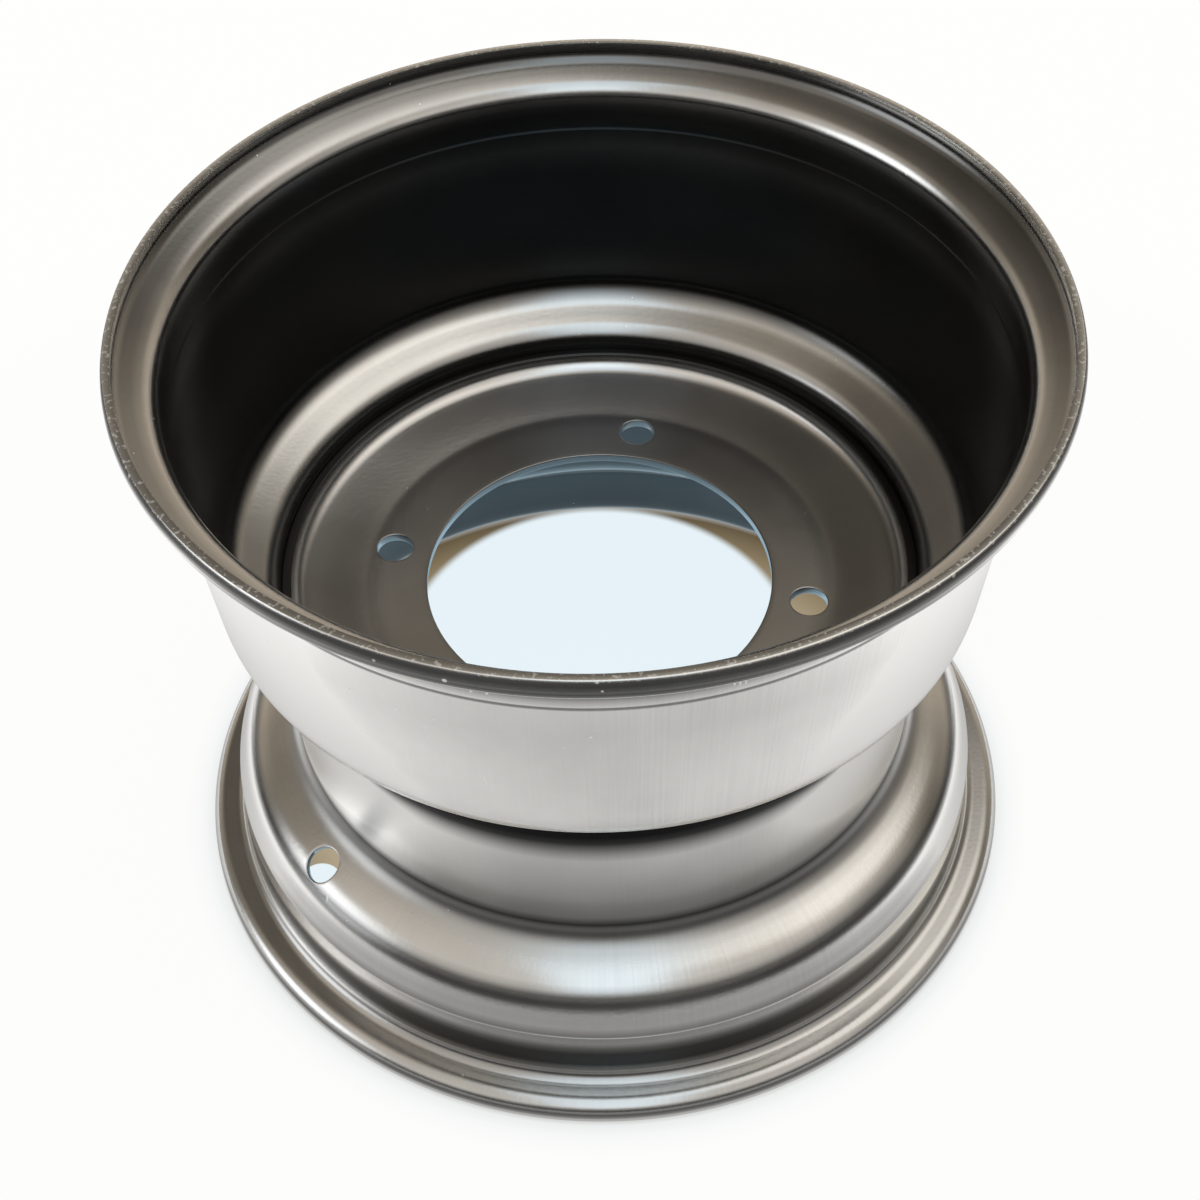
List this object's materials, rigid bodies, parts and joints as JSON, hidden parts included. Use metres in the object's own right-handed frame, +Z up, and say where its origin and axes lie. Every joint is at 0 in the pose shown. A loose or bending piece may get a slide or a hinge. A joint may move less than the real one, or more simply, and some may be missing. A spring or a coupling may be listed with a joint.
{
  "type": "quad bike wheel rim",
  "caption": "Pressed steel wheel rim for a quad bike: deep drop-centre barrel with curled flanges, welded centre disc with a large bore and bolt holes, painted black.",
  "frame": {"origin": "on the wheel's axis, at the level of the lower flange's edge, which it stands on", "axes": "+Z up along the wheel's axis; +X to the right and -Y towards the camera in the picture"},
  "size_m": [0.28, 0.28, 0.2168],
  "materials": {
    "barrel_paint": "semi-gloss black paint over steel",
    "disc_paint": "semi-gloss black paint over steel",
    "weld_paint": "semi-gloss black paint over a rippled weld bead"
  },
  "bodies": {
    "root": {"rim_barrel": "barrel_paint", "centre_disc": "disc_paint", "disc_weld": "weld_paint"}
  },
  "joints": []
}
